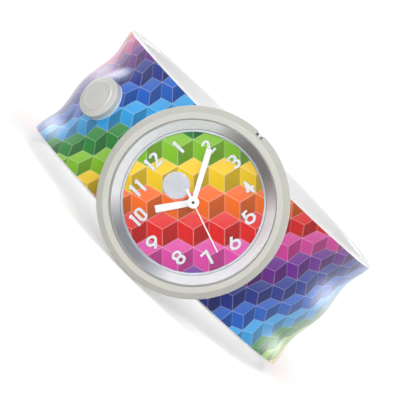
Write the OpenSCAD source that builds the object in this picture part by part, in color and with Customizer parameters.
// Toy slap watch: a round quartz watch head in a soft cup on a coiled, padded slap band.
// It stands on its nine o'clock side, with the dial leaning back a little.
// Dial frame: x runs from 12 to 6 o'clock, y from 9 to 3 o'clock, z outward through the crystal.
// z = 0 is the crest of the band under the head.

/* [Slap band] */
// Outer radius of the coiled band at its crests
band_r = 34; // [30:0.2:38]
// Width of the band
band_w = 28; // [24:0.2:30]
// Thickness of the band in its grooves
band_wall = 1.6; // [1.4:0.1:2.2]
// Height of the crests above the grooves
crest_h = 0.9; // [0.4:0.1:1.2]
// Angle round the coil at which each half ends, in degrees from the head
tip_angle = 195; // [188:1:196]
// How much smaller the coil of the 12 o'clock half is, so that it slips inside
lap_step = 2.5; // [2.4:0.1:3]
// Gap between two neighbouring lengths of band
bend_gap = 0.2; // [0.1:0.05:0.3]
// Radius of the rounded corners at the two ends of the band
tip_corner_r = 9; // [6:0.5:11]
// Width of the spring steel inside the band
steel_w = 20; // [16:0.5:21]
// Thickness of the spring steel
steel_t = 0.25; // [0.15:0.05:0.35]

/* [Stud] */
// Radius of the domed stud on the 12 o'clock half
stud_r = 4.5; // [3.5:0.05:4.7]
// Height of the stud above its seat
stud_h = 2.2; // [2:0.1:3]
// Height of the stud's upright side, under its low dome
stud_side_h = 1.4; // [0.8:0.1:1.6]
// Lean of the stud's seat towards the head, in degrees
stud_lean = 9; // [0:1:11]
// Gap between the stud's edge and the end of the length of band that carries it
stud_end_gap = 1.6; // [0.8:0.1:3]

/* [Case] */
// Radius of the drum that sits in the cup
drum_r = 15; // [14.5:0.05:16]
// How far the rim stands out past the drum
rim_overhang = 4.25; // [3.9:0.05:4.8]
// Height of the straight part of the rim
rim_h = 3.2; // [2.8:0.1:3.4]
// Height of the sloped edge in front of the rim
slope_h = 1.6; // [1.4:0.1:1.8]
// Width of the sloped edge
slope_w = 1.3; // [0.8:0.05:1.5]
// Distance from the band's crest to the crystal's front
head_h = 11.2; // [11.1:0.1:12]
// Width of the flat ring between the crystal and the sloped edge
bezel_w = 1.5; // [1.2:0.05:1.8]
// Thickness of the crystal
crystal_t = 1.6; // [1.4:0.1:1.7]
// Wall of the cup that holds the drum
cup_wall = 1.5; // [1.2:0.1:1.8]
// Height of the cup's rim above the band's crest
cup_h = 3.2; // [2.9:0.1:3.3]

/* [Dial and hands] */
// Width of the silver ring round the dial
flange_w = 2.45; // [2.2:0.05:2.8]
// Height of the silver ring round the dial
flange_h = 2.1; // [1.8:0.05:2.2]
// Thickness of the dial
dial_t = 0.4; // [0.3:0.05:0.5]
// Distance from the dial's edge to the middle of each numeral
numeral_inset = 2.65; // [2.4:0.05:3]
// Height of the numerals
numeral_h = 2.9; // [2.4:0.1:3.1]
// Stroke of the numerals
numeral_stroke = 0.48; // [0.4:0.02:0.54]
// Radius of the plain silver disc between the hub and the 12
disc_r = 2.75; // [2.2:0.05:2.85]
// Distance from the hour hand's tip to the dial's edge
hour_hand_gap = 6.3; // [5:0.1:8]
// Distance from the minute hand's tip to the dial's edge
minute_hand_gap = 2.9; // [1.5:0.1:5]
// Distance from the second hand's tip to the dial's edge
second_hand_gap = 3; // [1.5:0.1:5]
// Place of the hour hand, clockwise from 12 in degrees
hour_hand_at = 305; // [0:1:359]
// Place of the minute hand, clockwise from 12 in degrees
minute_hand_at = 62; // [0:1:359]
// Place of the second hand, clockwise from 12 in degrees
second_hand_at = 199; // [0:1:359]

/* [Movement and crown] */
// Radius of the button cell
cell_r = 3.4; // [3.3:0.05:3.45]
// Thickness of the button cell
cell_t = 2.6; // [2.3:0.1:2.65]
// Radius of the crown
crown_r = 1.9; // [1.6:0.05:2]
// Length of the crown
crown_l = 2.15; // [1.9:0.05:2.2]
// Travel of the crown when it is pulled out to set the time
crown_travel = 0.8; // [0.5:0.1:0.9]

/* [Hidden] */

// General clearances, and how finely curves are drawn
over = 0.5;
fit = 0.05;
slip = 0.03;
part_gap = 0.15;
smooth = 96;
fine = 36;
coarse = 16;
full_turn = 360;
half_turn = 180;
quarter_turn = 90;

// Case, cup and dial radii
rim_r = drum_r + rim_overhang;
crystal_r = rim_r - slope_w - bezel_w;
dial_view_r = crystal_r - flange_w;
cup_r = drum_r + cup_wall;
cup_margin = 0.5;

// The movement is as wide as its cell needs, at the cell's place beside the wheels
cell_at = [5.4, -1.4];
movement_edge = 0.22;
movement_r = norm(cell_at) + cell_r + movement_edge;

// Band section
edge_round = 0.5;
inner_chamfer = 0.5;
crest_edge = band_w / 2 - edge_round;
groove_share = 0.57;
groove_at = crest_edge * groove_share;
band_in_r = band_r - crest_h - band_wall;
steel_depth_share = 0.45;
steel_r = band_in_r + band_wall * steel_depth_share;
section_steps = 28;
round_steps = 4;
tip_wall = 2;

// Coil of the band: the middle is stiff as far as the cup reaches, and each half then bends in five
// lengths. The 12 o'clock half turns on a smaller radius after its first length.
bend_count = 5;
stiff_half_angle = asin((cup_r + cup_margin) / band_r);
bend_angle = (tip_angle - stiff_half_angle) / bend_count;
half_gap_angle = asin(bend_gap / 2 / band_r);
step_angle = stiff_half_angle + bend_angle;
lap_r = band_r - lap_step;
lap_x = lap_step * sin(step_angle);
lap_z = -band_r + lap_step * cos(step_angle);

// Heights through the head, from the band's crest
cup_floor_z = 0.6;
cup_fit = 0.1;
back_gap = 0.2;
back_z = cup_floor_z + back_gap;
back_t = 0.8;
gasket_t = 0.3;
front_z = head_h;
slope_z = front_z - slope_h;
rim_z = slope_z - rim_h;
cone_h = 1.8;
cone_z = rim_z - cone_h;
crystal_z = front_z - crystal_t;
gasket_lip_t = 0.1;
flange_top_z = crystal_z - gasket_lip_t;
dial_top_z = flange_top_z - flange_h;
dial_z = dial_top_z - dial_t;
gasket_w = 0.2;
flange_r = crystal_r + gasket_w;
flange_land = 0.35;
flange_lip_w = 0.45;
flange_lip_h = 0.3;
dial_margin = 0.6;
dial_r = dial_view_r + dial_margin;
wall_share = 0.345;
drum_wall = (drum_r - movement_r) * wall_share;
case_bore_r = drum_r - drum_wall;
back_land = 0.5;
back_r = case_bore_r + back_land;
bead_rise = 1.4;
bead_z = back_z + bead_rise;
bead_h = 0.6;
bead_d = 0.35;

// Levels inside the movement
motion_room = 0.95;
train_room = 1.75;
plate_t = 1.1;
plate_z = dial_z - motion_room - plate_t;
plate_top_z = plate_z + plate_t;
bridge_t = 0.5;
bridge_z = plate_z - train_room - bridge_t;
board_t = 0.3;
board_z = bridge_z - board_t - part_gap;
cell_z = plate_z - cell_t - part_gap;
clip_t = 0.15;
clip_z = cell_z - clip_t - fit;
holder_fit = 0.1;
holder_r = case_bore_r - holder_fit;
holder_z = back_z + back_t + gasket_t + fit;
bridge_top_z = bridge_z + bridge_t;

// Places inside the movement
screw_spots = [[5, 5.6], [-5.4, 5.4], [-7.2, -2.2]];
foot_r = 0.4;
foot_l = 0.6;
foot_inset = 1.1;
foot_at = movement_r - foot_inset;
foot_turns = [20, 200];
can_at = [-1.2, 6.6];
can_r = 0.7;
can_l = 3.2;
coil_y = -6.7;
coil_r = 0.9;
coil_half = 3.6;
coil_x = -0.5;
core_half = 0.25;
stator_t = 0.4;
stator_gap = 0.2;
stator_z = bridge_top_z + stator_gap;

// Gear train: tooth counts, modules and centre distances
train_distance = 2.16;
centre_teeth = 64;
third_teeth = 60;
seconds_teeth = 60;
reduction_teeth = 36;
leaf_8 = 8;
leaf_12 = 12;
leaf_6 = 6;
rotor_distance = 1.68;
motion_distance = 2.4;
cannon_teeth = 12;
minute_teeth = 36;
minute_leaves = 10;
hour_teeth = 40;
third_module = 2 * train_distance / (third_teeth + leaf_8);
centre_module = 2 * train_distance / (centre_teeth + leaf_8);
seconds_module = 2 * train_distance / (seconds_teeth + leaf_12);
rotor_module = 2 * rotor_distance / (reduction_teeth + leaf_6);
minute_module = 2 * motion_distance / (minute_teeth + cannon_teeth);
hour_module = 2 * motion_distance / (hour_teeth + minute_leaves);
third_dir = 150;
reduction_dir = 250;
rotor_dir = 230;
minute_dir = 90;
third_at = train_distance * [cos(third_dir), sin(third_dir)];
reduction_at = train_distance * [cos(reduction_dir), sin(reduction_dir)];
rotor_at = reduction_at + rotor_distance * [cos(rotor_dir), sin(rotor_dir)];
minute_at = motion_distance * [cos(minute_dir), sin(minute_dir)];
addendum_share = 0.75;
dedendum_share = 1.1;
tip_tooth_share = 0.24;
root_tooth_share = 0.46;

// Arbors and tubes on the centre line
pivot_r = 0.08;
arbor_r = 0.16;
centre_tube_r = 0.36;
cannon_tube_r = 0.52;
hour_tube_r = 0.72;
dial_hole_gap = 0.13;
dial_hole_r = hour_tube_r + dial_hole_gap;
wheel_t = 0.2;

// Heights of the wheels
wheel_gap = 0.1;
third_step = 0.35;
reduction_step = 0.3;
centre_step = 0.4;
seconds_wheel_z = bridge_top_z + stator_gap;
third_wheel_z = seconds_wheel_z + third_step;
reduction_wheel_z = third_wheel_z + reduction_step;
centre_wheel_z = reduction_wheel_z + centre_step;
minute_wheel_z = plate_top_z + wheel_gap;
hour_wheel_z = minute_wheel_z + wheel_t + wheel_gap;
cannon_z = plate_top_z + fit;

// Hands
hand_t = 0.15;
hand_rise = 0.35;
hand_step = 0.4;
hour_hand_z = dial_top_z + hand_rise;
minute_hand_z = hour_hand_z + hand_step;
second_hand_z = minute_hand_z + hand_step;
hour_hand_l = dial_view_r - hour_hand_gap;
minute_hand_l = dial_view_r - minute_hand_gap;
second_hand_l = dial_view_r - second_hand_gap;
hour_hand_w = 1.5;
minute_hand_w = 1.2;
second_hand_w = 0.28;
second_tail_l = 3;
second_tail_w = 0.6;
hub_r = 1.2;
hub_h = 0.3;
minute_hub_share = 0.85;
hand_root_share = 0.85;

// Crown and stem
stem_r = 0.3;
stem_waist_r = 0.18;
stem_z = plate_z + plate_t / 2;
crown_inset = 0.4;
crown_y = rim_r - crown_inset - crown_l;
crown_pocket_gap = 0.25;
crown_pocket_r = crown_r + crown_pocket_gap;
crown_hollow_share = 0.62;
crown_hollow_r = crown_r * crown_hollow_share;
stem_end_y = 4.7;
waist_y = 6.2;
waist_spare = 0.7;
waist_l = crown_travel + waist_spare;
pinion_y = 5.05;
pinion_l = 0.7;
pinion_r = 0.62;
nail_notch_w = 1.6;
catch_t = 0.25;
catch_half_w = 0.85;
catch_gap = 0.2;

// How far the head leans back, and where the row's origin lies
rear_z = -2 * band_r;
lean = atan((rim_r - band_w / 2) / (rim_z - rear_z));
lift = rim_r * cos(lean) - rim_z * sin(lean);
front_reach = front_z * cos(lean) + (rim_r - slope_w) * sin(lean);
rear_reach = -rear_z * cos(lean) + band_w / 2 * sin(lean);
shift_y = (front_reach - rear_reach) / 2;
shift_x = (lap_x + lap_r - band_r) / 2;

// Puts the dial frame into the standing frame.
module place() {
    translate([shift_x, shift_y, lift])
        rotate([90 - lean, 0, 0])
            children();
}

// Turns shapes made round z so that they run round the coil, from the head towards 6 o'clock.
axis_swap = -120;
module round_coil(x, z) {
    translate([x, 0, z])
        rotate(a = axis_swap, v = [1, 1, 1])
            children();
}

// Radius of the band's outer face at a distance from its middle line.
function crest_drop(a) = a < groove_at
    ? crest_h * (1 - cos(half_turn * a / groove_at)) / 2
    : crest_h * (1 + cos(half_turn * (a - groove_at) / (crest_edge - groove_at))) / 2;

// Section of the band for a coil of outer radius r, as points of radius and width.
function outer_face(r) = [
    for (i = [-section_steps / 2 : section_steps / 2])
        let (w = crest_edge * 2 * i / section_steps) [r - crest_drop(abs(w)), w]
];
function edge_face(r, side) = [
    for (i = [1 : round_steps])
        let (t = quarter_turn * i / round_steps)
            [r - edge_round * (1 - cos(t)), side * (crest_edge + edge_round * sin(t))]
];
function turned(list) = [for (i = [len(list) - 1 : -1 : 0]) list[i]];
function band_section(r) = concat(
    outer_face(r),
    edge_face(r, 1),
    [[r - band_r + band_in_r + inner_chamfer, band_w / 2]],
    [[r - band_r + band_in_r, band_w / 2 - inner_chamfer]],
    [[r - band_r + band_in_r, -band_w / 2 + inner_chamfer]],
    [[r - band_r + band_in_r + inner_chamfer, -band_w / 2]],
    turned(edge_face(r, -1))
);

// A length of padded sleeve with its flat pocket, from angle a to angle b.
module sleeve(r, a, b) {
    rotate([0, 0, a + half_gap_angle])
        rotate_extrude(angle = b - a - 2 * half_gap_angle, $fn = 4 * smooth)
            difference() {
                polygon(band_section(r));
                translate([r - band_r + steel_r - fit, -steel_w / 2 - fit])
                    square([steel_t + 2 * fit, steel_w + 2 * fit]);
            }
}

// A length of spring steel, from angle a to angle b.
module steel(r, a, b) {
    rotate([0, 0, a + half_gap_angle])
        rotate_extrude(angle = b - a - 2 * half_gap_angle, $fn = 4 * smooth)
            translate([r - band_r + steel_r, -steel_w / 2])
                square([steel_t, steel_w]);
}

// What rounds off the two corners of a band end that lies at angle b.
module tip_corners(r, b) {
    rotate([0, 0, b - half_gap_angle])
        for (side = [-1, 1])
            translate([0, -tip_corner_r, side * (band_w / 2 - tip_corner_r)])
                rotate([0, quarter_turn, 0])
                    difference() {
                        translate([side > 0 ? -tip_corner_r - over : 0, 0, 0])
                            cube([tip_corner_r + over, tip_corner_r + over, r + over]);
                        cylinder(r = tip_corner_r, h = r + over, $fn = fine);
                    }
}

// A closed wall that fills the pocket at a band end.
module tip_plug(r, b) {
    plug_angle = asin(tip_wall / band_in_r);
    rotate([0, 0, b - half_gap_angle - plug_angle])
        rotate_extrude(angle = plug_angle, $fn = 4 * smooth)
            translate([r - band_r + steel_r - 2 * fit, -steel_w / 2 - 2 * fit])
                square([steel_t + 4 * fit, steel_w + 4 * fit]);
}

// Start angle of bending length k, which counts from 1 beside the head to 5 at the end.
function bend_start(k) = stiff_half_angle + (k - 1) * bend_angle;

// Sleeve of bending length k in a coil of radius r, with a rounded end on the last one.
module sleeve_length(r, k) {
    difference() {
        union() {
            sleeve(r, bend_start(k), bend_start(k + 1));
            if (k == bend_count)
                tip_plug(r, bend_start(k + 1));
        }
        if (k == bend_count)
            tip_corners(r, bend_start(k + 1));
    }
}

// Spring steel of bending length k, which stops short of the band's end.
steel_stop_share = 0.75;
module steel_length(r, k) {
    end_angle = k == bend_count ? asin(tip_corner_r / band_in_r) * steel_stop_share : 0;
    steel(r, bend_start(k), bend_start(k + 1) - end_angle);
}

// Place and direction of the stud, in the frame that runs round the coil.
stud_angle = step_angle - asin((stud_r + stud_end_gap) / band_r);
stud_shank_r = 1.2;
stud_seat_margin = 0.15;
stud_seat_r = stud_r + stud_seat_margin;
stud_seat_at = band_r + fit + stud_seat_r * sin(stud_lean);
stud_y = 0.5;
washer_t = 0.4;
washer_r = 2.6;
module at_stud() {
    rotate([0, 0, stud_angle])
        translate([0, 0, stud_y])
            rotate([0, quarter_turn, 0])
                children();
}

// Padding under the stud: a round post from the steel up to the leaning seat.
module stud_seat() {
    seat_foot = steel_r + steel_t + fit;
    at_stud()
        intersection() {
            translate([0, 0, seat_foot])
                cylinder(r = stud_seat_r, h = stud_seat_at + stud_seat_r - seat_foot, $fn = smooth);
            translate([0, 0, stud_seat_at])
                rotate([stud_lean, 0, 0])
                    translate([0, 0, -stud_seat_at])
                        cylinder(r = stud_seat_at, h = stud_seat_at, $fn = coarse);
        }
}

module band_six(k) {
    color("mediumslateblue")
        place()
            round_coil(0, -band_r)
                sleeve_length(band_r, k);
}

module spring_six(k) {
    color("lightsteelblue")
        place()
            round_coil(0, -band_r)
                steel_length(band_r, k);
}

module band_twelve(k) {
    color("gold")
        place()
            mirror([1, 0, 0])
                if (k == 1)
                    round_coil(0, -band_r)
                        difference() {
                            union() {
                                sleeve_length(band_r, k);
                                stud_seat();
                            }
                            at_stud()
                                translate([0, 0, band_in_r - over])
                                    cylinder(r = stud_shank_r + fit, $fn = smooth,
                                             h = stud_seat_at + stud_shank_r - band_in_r);
                        }
                else
                    round_coil(lap_x, lap_z)
                        sleeve_length(lap_r, k);
}

module spring_twelve(k) {
    color("lightsteelblue")
        place()
            mirror([1, 0, 0])
                if (k == 1)
                    round_coil(0, -band_r)
                        difference() {
                            steel_length(band_r, k);
                            at_stud()
                                translate([0, 0, band_in_r])
                                    cylinder(r = stud_shank_r + fit, h = crest_h + band_wall,
                                             $fn = smooth);
                        }
                else
                    round_coil(lap_x, lap_z)
                        steel_length(lap_r, k);
}

// Stud with an upright side, a low dome and a raised ring. Its head lies on the leaning seat, and its
// shank goes straight through band and steel.
module band_stud() {
    dome_h = stud_h - stud_side_h;
    dome_r = (stud_r * stud_r + dome_h * dome_h) / (2 * dome_h);
    ring_in_share = 0.62;
    ring_out_share = 0.74;
    ring_h_share = 0.95;
    ring_in = stud_r * ring_in_share;
    ring_out = stud_r * ring_out_share;
    ring_z = stud_h * ring_h_share;
    color("gainsboro")
        place()
            mirror([1, 0, 0])
                round_coil(0, -band_r)
                    at_stud()
                        translate([0, 0, stud_seat_at + slip])
                            union() {
                                rotate([stud_lean, 0, 0])
                                    union() {
                                        intersection() {
                                            translate([0, 0, stud_h - dome_r])
                                                sphere(r = dome_r, $fn = smooth);
                                            cylinder(r = stud_r, h = stud_h + over, $fn = smooth);
                                        }
                                        difference() {
                                            cylinder(r = ring_out, h = ring_z, $fn = smooth);
                                            translate([0, 0, -over])
                                                cylinder(r = ring_in, h = ring_z + 2 * over, $fn = smooth);
                                        }
                                    }
                                translate([0, 0, band_in_r - washer_t - stud_seat_at])
                                    cylinder(r = stud_shank_r, $fn = smooth,
                                             h = stud_seat_at - band_in_r + washer_t + stud_side_h / 2);
                            }
}

module stud_washer() {
    color("silver")
        place()
            mirror([1, 0, 0])
                round_coil(0, -band_r)
                    at_stud()
                        translate([0, 0, band_in_r * cos(asin(washer_r / band_in_r)) - washer_t - slip])
                            difference() {
                                cylinder(r = washer_r, h = washer_t, $fn = smooth);
                                translate([0, 0, -over])
                                    cylinder(r = stud_shank_r + slip, h = washer_t + 2 * over,
                                             $fn = smooth);
                            }
}

// Stiff middle of the band, under the head.
module band_middle() {
    color("whitesmoke")
        place()
            round_coil(0, -band_r)
                sleeve(band_r, -stiff_half_angle, stiff_half_angle);
}

// Soft cup welded to the band's crests, which grips the drum by a bead.
module case_cup() {
    cup_in_r = drum_r + cup_fit;
    color("white")
        place()
            difference() {
                translate([0, 0, -cup_r / 2])
                    cylinder(r = cup_r, h = cup_h + cup_r / 2, $fn = 2 * smooth);
                rotate_extrude($fn = 2 * smooth)
                    polygon([
                        [0, cup_floor_z],
                        [cup_in_r, cup_floor_z],
                        [cup_in_r, bead_z],
                        [cup_in_r - bead_d, bead_z + bead_h / 2],
                        [cup_in_r, bead_z + bead_h],
                        [cup_in_r, cup_h + over],
                        [0, cup_h + over]
                    ]);
                translate([0, 0, -band_r])
                    rotate([quarter_turn, 0, 0])
                        translate([0, 0, -cup_r - over])
                            cylinder(r = band_r + slip, h = 2 * (cup_r + over), $fn = 4 * smooth);
            }
}

module spring_middle() {
    color("lightsteelblue")
        place()
            round_coil(0, -band_r)
                steel(band_r, -stiff_half_angle, stiff_half_angle);
}

// One-piece plastic case: drum, spreading cone, rim and sloped edge.
notch_floor_share = 0.35;
module case_body() {
    groove_r = drum_r + cup_fit - bead_d - fit;
    color("ivory")
        place()
            difference() {
                rotate_extrude($fn = 2 * smooth)
                    polygon([
                        [back_r + fit, back_z],
                        [drum_r, back_z],
                        [drum_r, bead_z - fit],
                        [groove_r, bead_z + bead_h / 2],
                        [drum_r, bead_z + bead_h + fit],
                        [drum_r, cone_z],
                        [rim_r, rim_z],
                        [rim_r, slope_z],
                        [rim_r - slope_w, front_z],
                        [flange_r + fit, front_z],
                        [flange_r + fit, dial_top_z],
                        [dial_r + fit, dial_top_z],
                        [dial_r + fit, dial_z],
                        [case_bore_r, dial_z],
                        [case_bore_r, back_z + back_t + gasket_t],
                        [back_r + fit, back_z + back_t + gasket_t]
                    ]);
                translate([0, crown_y - part_gap, stem_z])
                    rotate([-quarter_turn, 0, 0])
                        cylinder(r = crown_pocket_r, h = rim_r, $fn = smooth);
                translate([0, movement_r, stem_z])
                    rotate([-quarter_turn, 0, 0])
                        cylinder(r = stem_r + fit, h = crown_y, $fn = fine);
                translate([-nail_notch_w / 2, rim_r - slope_w + fit, stem_z])
                    cube([nail_notch_w, slope_w + over, front_z - stem_z - slope_h * notch_floor_share]);
            }
}

module case_back() {
    slot_w = 2.4;
    slot_half_l = 4;
    slot_depth = 0.3;
    color("silver")
        place()
            translate([0, 0, back_z])
                difference() {
                    cylinder(r = back_r, h = back_t, $fn = 2 * smooth);
                    translate([-slot_half_l, -slot_w / 2, -over])
                        cube([2 * slot_half_l, slot_w, over + slot_depth]);
                }
}

module ring(r_out, r_in, z, h) {
    translate([0, 0, z])
        difference() {
            cylinder(r = r_out, h = h, $fn = 2 * smooth);
            translate([0, 0, -over])
                cylinder(r = r_in, h = h + 2 * over, $fn = 2 * smooth);
        }
}

module back_gasket() {
    color("dimgray")
        place()
            ring(back_r - fit, case_bore_r + fit, back_z + back_t, gasket_t);
}

module crystal() {
    color([0.8, 0.9, 0.95, 0.3])
        place()
            translate([0, 0, crystal_z])
                cylinder(r = crystal_r, h = crystal_t, $fn = 2 * smooth);
}

module crystal_gasket() {
    color("gray")
        place()
            rotate_extrude($fn = 2 * smooth)
                polygon([
                    [crystal_r, front_z - fit],
                    [crystal_r, crystal_z],
                    [crystal_r - flange_land + gasket_w, crystal_z],
                    [crystal_r - flange_land + gasket_w, flange_top_z],
                    [flange_r, flange_top_z],
                    [flange_r, front_z - fit]
                ]);
}

// Silver ring that holds the dial down and slopes up to the crystal.
module flange_ring() {
    lip_r = dial_view_r + flange_lip_w;
    land_r = flange_r - flange_land;
    color("silver")
        place()
            rotate_extrude($fn = 2 * smooth)
                polygon([
                    [dial_view_r, dial_top_z],
                    [flange_r, dial_top_z],
                    [flange_r, flange_top_z],
                    [land_r, flange_top_z],
                    [lip_r, dial_top_z + flange_lip_h],
                    [dial_view_r, dial_top_z + flange_lip_h]
                ]);
}

module dial() {
    color("mediumseagreen")
        place()
            translate([0, 0, dial_z])
                union() {
                    difference() {
                        cylinder(r = dial_r, h = dial_t, $fn = 2 * smooth);
                        translate([0, 0, -over])
                            cylinder(r = dial_hole_r, h = dial_t + 2 * over, $fn = fine);
                    }
                    for (a = foot_turns)
                        rotate([0, 0, a])
                            translate([foot_at, 0, -foot_l])
                                cylinder(r = foot_r, h = foot_l, $fn = fine);
                }
}

// Plain silver disc with a raised ring, between the hub and the 12.
numeral_ring_r = dial_view_r - numeral_inset;
disc_room = numeral_ring_r - numeral_h / 2 - hub_r;
disc_place = 0.41;
disc_t = 0.15;
disc_at = hub_r + disc_room * disc_place;
disc_ring_h = 0.24;
disc_ring_out = 0.82;
disc_ring_in = 0.7;
disc_boss = 0.28;
module dial_disc() {
    color("silver")
        place()
            translate([-disc_at, 0, dial_top_z])
                union() {
                    cylinder(r = disc_r, h = disc_t, $fn = smooth);
                    ring(disc_r * disc_ring_out, disc_r * disc_ring_in, 0, disc_ring_h);
                    cylinder(r = disc_r * disc_boss, h = disc_ring_h, $fn = fine);
                }
}

// Strokes of the numerals, on a grid whose height is 1: bars and arcs with flat ends, and round knees.
numeral_t = 0.16;
numeral_spread = 1.28;
stroke_share = numeral_stroke / numeral_h;
cap_share = stroke_share / 2;
inner_h_share = 1 - stroke_share;
bowl_share = inner_h_share / 4;
glyph_w_share = 0.5;
round_share = 0.62;
post_share = 0.38;
flag_run = 0.75;
flag_drop = 0.6;
swan_angle = 35;
hook_angle = 20;
tail_angle = 25;
five_angle = 125;

module bar(a, b) {
    run = b - a;
    translate(a)
        rotate([0, 0, atan2(run[1], run[0])])
            translate([0, -cap_share])
                square([norm(run), stroke_share]);
}

module knee(p) {
    translate(p)
        circle(r = cap_share, $fn = fine);
}

module bow(c, r, from, to) {
    reach = 2 * r + stroke_share;
    mid = (from + to) / 2;
    span = (to - from) / 2;
    difference() {
        translate(c)
            circle(r = r + cap_share, $fn = fine);
        translate(c)
            circle(r = r - cap_share, $fn = fine);
        if (to - from < full_turn)
            translate(c)
                polygon([
                    [0, 0],
                    reach * [cos(mid + span), sin(mid + span)],
                    reach * [cos(mid + (span + half_turn) / 2), sin(mid + (span + half_turn) / 2)],
                    reach * [cos(mid + half_turn), sin(mid + half_turn)],
                    reach * [cos(mid - (span + half_turn) / 2), sin(mid - (span + half_turn) / 2)],
                    reach * [cos(mid - span), sin(mid - span)]
                ]);
    }
}

module glyph(n) {
    top = inner_h_share / 2;
    side = (glyph_w_share - stroke_share) / 2;
    q = bowl_share;
    low = top * round_share;
    tail = low * [cos(tail_angle), sin(tail_angle)];
    neck = [side * cos(swan_angle), top - side - side * sin(swan_angle)];
    chin = [low * cos(five_angle), low - top + low * sin(five_angle)];
    if (n == 0) {
        bow([0, top - side], side, 0, half_turn);
        bow([0, side - top], side, half_turn, full_turn);
        bar([side, side - top], [side, top - side]);
        bar([-side, side - top], [-side, top - side]);
    }
    if (n == 1) {
        bar([0, -top - cap_share], [0, top + cap_share]);
        bar([0, top], [-side * flag_run, top - side * flag_drop]);
    }
    if (n == 2) {
        bow([0, top - side], side, -swan_angle, half_turn - hook_angle);
        knee(neck);
        bar(neck, [-side, -top]);
        bar([-side - cap_share, -top], [side + cap_share, -top]);
    }
    if (n == 3) {
        bow([0, top - q], q, -quarter_turn, half_turn - hook_angle);
        bow([0, q - top], q, hook_angle - half_turn, quarter_turn);
        bar([-cap_share, 0], [cap_share, 0]);
    }
    if (n == 4) {
        bar([side * post_share, -top - cap_share], [side * post_share, top + cap_share]);
        bar([side * post_share, top], [-side, -top * post_share]);
        bar([-side - cap_share, -top * post_share], [side + cap_share, -top * post_share]);
    }
    if (n == 5) {
        bow([0, low - top], low, five_angle - full_turn + hook_angle, five_angle);
        knee(chin);
        bar(chin, [-side * round_share, top]);
        bar([-side * round_share - cap_share, top], [side * round_share + cap_share, top]);
    }
    if (n == 6) {
        bow([0, low - top], low, 0, full_turn);
        bar([-tail[0], low - top + tail[1]], [low / 2, top]);
    }
    if (n == 7) {
        bar([-side - cap_share, top], [side + cap_share, top]);
        bar([side, top], [-side * post_share, -top - cap_share]);
    }
    if (n == 8) {
        bow([0, top - q], q, 0, full_turn);
        bow([0, q - top], q, 0, full_turn);
    }
    if (n == 9) {
        bow([0, top - low], low, 0, full_turn);
        bar([tail[0], top - low - tail[1]], [-low / 2, -top]);
    }
}

module numeral(n) {
    pair_step = 0.24;
    wide_step = 0.2;
    ones_step = 0.18;
    if (n < 10)
        glyph(n);
    else {
        translate([-pair_step, 0])
            glyph(1);
        translate([n == 11 ? ones_step : wide_step, 0])
            glyph(n - 10);
    }
}

module dial_numerals() {
    color("white")
        place()
            for (n = [1 : 12])
                let (a = half_turn - full_turn * n / 12)
                    translate([numeral_ring_r * cos(a), numeral_ring_r * sin(a), dial_top_z])
                        rotate([0, 0, quarter_turn])
                            linear_extrude(numeral_t)
                                scale(numeral_h * [numeral_spread, 1])
                                    numeral(n);
}

// Outline of a wheel with straight-sided teeth, one of them centred on angle 0.
function tooth_ring(teeth, m) = [
    for (i = [0 : teeth - 1])
        for (s = [[-root_tooth_share, -dedendum_share], [-tip_tooth_share, addendum_share],
                  [tip_tooth_share, addendum_share], [root_tooth_share, -dedendum_share]])
            let (a = (i + s[0] / 2) * full_turn / teeth, r = m * (teeth / 2 + s[1]))
                [r * cos(a), r * sin(a)]
];

// Turn of a wheel with b teeth that meshes with one of a teeth, turned by phi, lying back along dir.
function mesh_turn(phi, a, b, dir) = dir + half_turn - (phi - dir) * a / b + half_turn / b;
third_turn = mesh_turn(0, centre_teeth, leaf_8, third_dir);
seconds_turn = mesh_turn(third_turn, third_teeth, leaf_8, third_dir + half_turn);
reduction_turn = mesh_turn(seconds_turn, seconds_teeth, leaf_12, reduction_dir);
rotor_turn = mesh_turn(reduction_turn, reduction_teeth, leaf_6, rotor_dir);
minute_turn = mesh_turn(0, cannon_teeth, minute_teeth, minute_dir);
hour_turn = mesh_turn(minute_turn, minute_leaves, hour_teeth, minute_dir + half_turn);

module toothed(teeth, m, z, h) {
    translate([0, 0, z])
        linear_extrude(h)
            polygon(tooth_ring(teeth, m));
}

module arbor(z_low, z_high, r) {
    translate([0, 0, z_low])
        cylinder(r = r, h = z_high - z_low, $fn = fine);
}

module rotor() {
    magnet_r = 0.5;
    magnet_h = 0.5;
    color("dimgray")
        place()
            translate(rotor_at)
                rotate([0, 0, rotor_turn])
                    union() {
                        arbor(bridge_z + bridge_t / 2, plate_z + plate_t / 4, pivot_r);
                        arbor(stator_z, stator_z + magnet_h, magnet_r);
                        toothed(leaf_6, rotor_module, reduction_wheel_z - wheel_t / 2, 2 * wheel_t);
                    }
}

module reduction_wheel() {
    color("khaki")
        place()
            translate(reduction_at)
                rotate([0, 0, reduction_turn])
                    union() {
                        arbor(bridge_z + bridge_t / 2, plate_z + plate_t / 4, pivot_r);
                        toothed(leaf_12, seconds_module, seconds_wheel_z - wheel_t / 2, 2 * wheel_t);
                        arbor(seconds_wheel_z, reduction_wheel_z, arbor_r);
                        toothed(reduction_teeth, rotor_module, reduction_wheel_z, wheel_t);
                    }
}

module seconds_wheel() {
    color("khaki")
        place()
            rotate([0, 0, seconds_turn])
                union() {
                    arbor(bridge_z + bridge_t / 2, seconds_wheel_z, pivot_r);
                    toothed(seconds_teeth, seconds_module, seconds_wheel_z, wheel_t);
                    toothed(leaf_8, third_module, seconds_wheel_z + wheel_t / 2, 2.5 * wheel_t);
                    arbor(seconds_wheel_z, second_hand_z + hub_h, arbor_r);
                }
}

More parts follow.
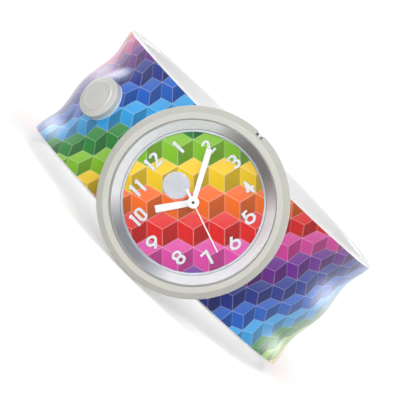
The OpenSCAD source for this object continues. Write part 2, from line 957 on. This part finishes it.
module third_wheel() {
    color("khaki")
        place()
            translate(third_at)
                rotate([0, 0, third_turn])
                    union() {
                        arbor(bridge_z + bridge_t / 2, plate_z + plate_t / 4, pivot_r);
                        toothed(third_teeth, third_module, third_wheel_z, wheel_t);
                        arbor(third_wheel_z, centre_wheel_z, arbor_r);
                        toothed(leaf_8, centre_module, centre_wheel_z - wheel_t / 2, 2 * wheel_t);
                    }
}

module centre_wheel() {
    color("khaki")
        place()
            difference() {
                union() {
                    toothed(centre_teeth, centre_module, centre_wheel_z, wheel_t);
                    arbor(centre_wheel_z, minute_hand_z, centre_tube_r);
                }
                arbor(centre_wheel_z - over, minute_hand_z + over, arbor_r + slip);
            }
}

module cannon_pinion() {
    color("goldenrod")
        place()
            difference() {
                union() {
                    toothed(cannon_teeth, minute_module, cannon_z, 1.5 * wheel_t);
                    arbor(cannon_z, minute_hand_z + hand_t, cannon_tube_r);
                }
                arbor(cannon_z - over, minute_hand_z + over, centre_tube_r + slip);
            }
}

module minute_wheel() {
    color("khaki")
        place()
            translate(minute_at)
                rotate([0, 0, minute_turn])
                    difference() {
                        union() {
                            toothed(minute_teeth, minute_module, minute_wheel_z, wheel_t);
                            toothed(minute_leaves, hour_module, minute_wheel_z + wheel_t / 2,
                                    2.5 * wheel_t);
                        }
                        arbor(minute_wheel_z - over, dial_z + over, arbor_r + slip);
                    }
}

module hour_wheel() {
    color("khaki")
        place()
            rotate([0, 0, hour_turn])
                difference() {
                    union() {
                        toothed(hour_teeth, hour_module, hour_wheel_z, wheel_t);
                        arbor(hour_wheel_z, hour_hand_z + hand_t, hour_tube_r);
                    }
                    arbor(hour_wheel_z - over, hour_hand_z + over, cannon_tube_r + slip);
                }
}

// A hand with straight sides and a square end, pointing to 12 o'clock before it is turned.
module hand_blade(l, tip_w, z) {
    root_w = tip_w * hand_root_share;
    translate([0, 0, z])
        linear_extrude(hand_t)
            polygon([[0, -root_w / 2], [0, root_w / 2], [-l, tip_w / 2], [-l, -tip_w / 2]]);
}

module hour_hand() {
    color("white")
        place()
            rotate([0, 0, -hour_hand_at])
                difference() {
                    union() {
                        hand_blade(hour_hand_l, hour_hand_w, hour_hand_z);
                        arbor(hour_hand_z, hour_hand_z + hand_t, hub_r);
                    }
                    arbor(hour_hand_z - over, hour_hand_z + over, hour_tube_r + slip);
                }
}

module minute_hand() {
    color("white")
        place()
            rotate([0, 0, -minute_hand_at])
                difference() {
                    union() {
                        hand_blade(minute_hand_l, minute_hand_w, minute_hand_z);
                        arbor(minute_hand_z, minute_hand_z + hand_t, hub_r * minute_hub_share);
                    }
                    arbor(minute_hand_z - over, minute_hand_z + over, cannon_tube_r + slip);
                }
}

module second_hand() {
    color("white")
        place()
            rotate([0, 0, -second_hand_at])
                difference() {
                    union() {
                        hand_blade(second_hand_l, second_hand_w, second_hand_z);
                        rotate([0, 0, half_turn])
                            hand_blade(second_tail_l, second_tail_w, second_hand_z);
                        arbor(second_hand_z, second_hand_z + hub_h, hub_r);
                    }
                    arbor(second_hand_z - over, second_hand_z + hub_h + over, arbor_r + slip);
                }
}

// Ring that centres the small movement in the case, with a passage for the stem.
holder_slot_turns = [45, 225];
module movement_holder() {
    color("white")
        place()
            difference() {
                ring(holder_r, movement_r + fit, holder_z, dial_z - fit - holder_z);
                translate([0, movement_r - over, stem_z])
                    rotate([-quarter_turn, 0, 0])
                        cylinder(r = stem_r + fit, h = holder_r, $fn = fine);
                for (a = holder_slot_turns)
                    rotate([0, 0, a])
                        translate([movement_r + (holder_r - movement_r) / 2, 0, holder_z - over])
                            cylinder(d = (holder_r - movement_r) / 2, h = dial_z, $fn = fine);
            }
}

pillar_r = 0.6;
screw_head_r = 0.5;
screw_head_h = 0.2;
screw_r = 0.24;
module main_plate() {
    post_top_z = dial_z - 2 * part_gap;
    color("lightgray")
        place()
            difference() {
                union() {
                    translate([0, 0, plate_z])
                        cylinder(r = movement_r, h = plate_t, $fn = 2 * smooth);
                    for (p = screw_spots)
                        translate(p)
                            arbor(bridge_top_z, plate_z + over, pillar_r);
                    translate(minute_at)
                        arbor(plate_top_z - over, post_top_z, arbor_r);
                }
                arbor(plate_z - over, plate_top_z + over, centre_tube_r + slip);
                for (p = [third_at, reduction_at, rotor_at])
                    translate(p)
                        arbor(plate_z - over, plate_z + plate_t / 2, pivot_r + slip);
                for (p = screw_spots)
                    translate(p)
                        arbor(bridge_z, plate_z, screw_r + slip);
                for (a = foot_turns)
                    rotate([0, 0, a])
                        translate([foot_at, 0, dial_z - foot_l - fit])
                            cylinder(r = foot_r + fit, h = plate_t, $fn = fine);
                translate([0, stem_end_y - over, stem_z])
                    rotate([-quarter_turn, 0, 0])
                        cylinder(r = stem_r + slip, h = movement_r, $fn = fine);
                translate([-pinion_r - fit, pinion_y - fit, plate_z - over])
                    cube([2 * (pinion_r + fit), pinion_l + 2 * fit, plate_t + 2 * over]);
                translate([-catch_half_w - part_gap, waist_y - part_gap, stem_z])
                    cube([2 * (catch_half_w + part_gap), waist_l + 2 * part_gap, plate_t]);
            }
}

module train_bridge() {
    color("silver")
        place()
            difference() {
                translate([0, 0, bridge_z])
                    cylinder(r = movement_r - fit, h = bridge_t, $fn = 2 * smooth);
                translate(cell_at)
                    arbor(bridge_z - over, bridge_top_z + over, cell_r + part_gap);
                for (p = [[0, 0], third_at, reduction_at, rotor_at])
                    translate(p)
                        arbor(bridge_z - over, bridge_top_z + over, pivot_r + slip);
                for (p = screw_spots)
                    translate(p)
                        arbor(bridge_z - over, bridge_top_z + over, screw_r + slip);
                translate([can_at[0] - can_l / 2 - part_gap, can_at[1] - can_r - part_gap, bridge_z - over])
                    cube([can_l + 2 * part_gap, 2 * (can_r + part_gap), bridge_t + 2 * over]);
                translate([-movement_r, -movement_r, bridge_z - over])
                    cube([2 * movement_r, movement_r + coil_y + coil_r + part_gap, bridge_t + 2 * over]);
            }
}

screw_stop = 0.4;
module bridge_screws() {
    color("silver")
        place()
            for (p = screw_spots)
                translate(p)
                    union() {
                        arbor(bridge_z - screw_head_h, bridge_z, screw_head_r);
                        arbor(bridge_z - screw_head_h, plate_z - screw_stop, screw_r);
                    }
}

module circuit_board() {
    color("darkgreen")
        place()
            difference() {
                translate([0, 0, board_z])
                    cylinder(r = movement_r - fit, h = board_t, $fn = 2 * smooth);
                translate(cell_at)
                    arbor(board_z - over, board_z + over, cell_r + part_gap);
                for (p = screw_spots)
                    translate(p)
                        arbor(board_z - over, board_z + over, screw_head_r + part_gap);
            }
}

module quartz_can() {
    color("silver")
        place()
            translate([can_at[0] - can_l / 2, can_at[1], board_z + board_t + can_r])
                rotate([0, quarter_turn, 0])
                    cylinder(r = can_r, h = can_l, $fn = fine);
}

// Soft iron plate round the rotor, with the bar that carries the coil.
module stator() {
    end_gap = 0.1;
    leg = 0.9;
    top_rise = 0.77;
    low_drop = 1.4;
    elbow_reach = 2.6;
    rotor_hole_r = 0.68;
    left = coil_x - coil_half - end_gap;
    right = coil_x + coil_half + end_gap;
    top_y = rotor_at[1] + top_rise;
    low_y = rotor_at[1] - low_drop;
    bar_low = coil_y - core_half;
    bar_high = coil_y + core_half;
    elbow_x = rotor_at[0] + elbow_reach;
    color("slategray")
        place()
            translate([0, 0, stator_z])
                linear_extrude(stator_t)
                    difference() {
                        polygon([
                            [left - leg, top_y],
                            [elbow_x, top_y],
                            [elbow_x, low_y],
                            [right + leg, low_y - leg / 2],
                            [right + leg, bar_low],
                            [left - leg, bar_low]
                        ]);
                        polygon([
                            [left, low_y],
                            [elbow_x - leg, low_y],
                            [elbow_x - leg, low_y - leg],
                            [right, low_y - leg],
                            [right, bar_high],
                            [left, bar_high]
                        ]);
                        translate(rotor_at)
                            circle(r = rotor_hole_r, $fn = fine);
                    }
}

module coil_winding() {
    color("chocolate")
        place()
            translate([coil_x - coil_half, coil_y, stator_z + stator_t / 2])
                rotate([0, quarter_turn, 0])
                    difference() {
                        cylinder(r = coil_r, h = 2 * coil_half, $fn = fine);
                        translate([-stator_t / 2 - slip, -core_half - slip, -over])
                            cube([stator_t + 2 * slip, 2 * (core_half + slip), 2 * (coil_half + over)]);
                    }
}

module button_cell() {
    step = 0.4;
    cap_inset = 0.5;
    color("lightsteelblue")
        place()
            translate(cell_at)
                union() {
                    arbor(cell_z, cell_z + cell_t - step, cell_r);
                    arbor(cell_z + cell_t - step, cell_z + cell_t, cell_r - cap_inset);
                }
}

module cell_clip() {
    arm_w = 1.4;
    pad_r = 2;
    foot = screw_spots[0] - [arm_w, 0];
    run = foot - cell_at;
    color("silver")
        place()
            union() {
                translate(cell_at)
                    arbor(clip_z, clip_z + clip_t, pad_r);
                translate(cell_at)
                    rotate([0, 0, atan2(run[1], run[0])])
                        translate([0, -arm_w / 2, clip_z])
                            cube([norm(run), arm_w, clip_t]);
                translate(foot)
                    arbor(clip_z, board_z - fit, arm_w / 2);
            }
}

module sliding_pinion() {
    teeth = 10;
    color("goldenrod")
        place()
            translate([0, pinion_y, stem_z])
                rotate([-quarter_turn, 0, 0])
                    difference() {
                        linear_extrude(pinion_l)
                            polygon(tooth_ring(teeth, pinion_r / (teeth / 2 + addendum_share)));
                        translate([0, 0, -over])
                            cylinder(r = stem_r + slip, h = pinion_l + 2 * over, $fn = fine);
                    }
}

module stem() {
    color("silver")
        place()
            translate([0, 0, stem_z])
                rotate([-quarter_turn, 0, 0])
                    difference() {
                        translate([0, 0, stem_end_y])
                            cylinder(r = stem_r, h = crown_y + crown_l / 2 - stem_end_y, $fn = fine);
                        translate([0, 0, waist_y])
                            difference() {
                                cylinder(r = stem_r + over, h = waist_l, $fn = fine);
                                translate([0, 0, -over])
                                    cylinder(r = stem_waist_r, h = waist_l + 2 * over, $fn = fine);
                            }
                    }
}

// Crown with flutes, hollow at the back where its gasket seals on the stem.
module crown() {
    flutes = 18;
    flute_r = 0.16;
    hollow_l = 0.7;
    color("silver")
        place()
            translate([0, crown_y, stem_z])
                rotate([-quarter_turn, 0, 0])
                    difference() {
                        cylinder(r = crown_r, h = crown_l, $fn = smooth);
                        for (i = [0 : flutes - 1])
                            rotate([0, 0, full_turn * i / flutes])
                                translate([crown_r, 0, -over])
                                    cylinder(r = flute_r, h = crown_l + 2 * over, $fn = coarse);
                        translate([0, 0, -over])
                            cylinder(r = stem_r + slip, h = crown_l / 2 + over + slip, $fn = fine);
                        translate([0, 0, -over])
                            cylinder(r = crown_hollow_r, h = hollow_l + over, $fn = smooth);
                    }
}

module crown_gasket() {
    seal_l = 0.6;
    color("black")
        place()
            translate([0, crown_y + slip, stem_z])
                rotate([-quarter_turn, 0, 0])
                    difference() {
                        cylinder(r = crown_hollow_r - slip, h = seal_l, $fn = smooth);
                        translate([0, 0, -over])
                            cylinder(r = stem_r + slip, h = crown_l, $fn = fine);
                    }
}

// Small plate whose fork stands in the stem's waist and limits its pull.
module stem_catch() {
    color("silver")
        place()
            translate([-catch_half_w, waist_y + catch_gap + crown_travel, stem_z + fit])
                difference() {
                    cube([2 * catch_half_w, catch_t, plate_t / 2 - 2 * fit]);
                    translate([catch_half_w, -over, -fit])
                        rotate([-quarter_turn, 0, 0])
                            cylinder(r = stem_waist_r + slip, h = catch_t + 2 * over, $fn = fine);
                }
}

case_body();
case_back();
back_gasket();
crystal();
crystal_gasket();
flange_ring();
dial();
dial_disc();
dial_numerals();
movement_holder();
main_plate();
train_bridge();
bridge_screws();
circuit_board();
quartz_can();
stator();
coil_winding();
button_cell();
cell_clip();
rotor();
reduction_wheel();
seconds_wheel();
third_wheel();
centre_wheel();
cannon_pinion();
minute_wheel();
hour_wheel();
hour_hand();
minute_hand();
second_hand();
sliding_pinion();
stem();
crown();
crown_gasket();
stem_catch();
band_stud();
stud_washer();
case_cup();
band_middle();
band_six(1);  // band_six_1
band_six(2);  // band_six_2
band_six(3);  // band_six_3
band_six(4);  // band_six_4
band_six(5);  // band_six_5
band_twelve(1);  // band_twelve_1
band_twelve(2);  // band_twelve_2
band_twelve(3);  // band_twelve_3
band_twelve(4);  // band_twelve_4
band_twelve(5);  // band_twelve_5
spring_middle();
spring_six(1);  // spring_six_1
spring_six(2);  // spring_six_2
spring_six(3);  // spring_six_3
spring_six(4);  // spring_six_4
spring_six(5);  // spring_six_5
spring_twelve(1);  // spring_twelve_1
spring_twelve(2);  // spring_twelve_2
spring_twelve(3);  // spring_twelve_3
spring_twelve(4);  // spring_twelve_4
spring_twelve(5);  // spring_twelve_5
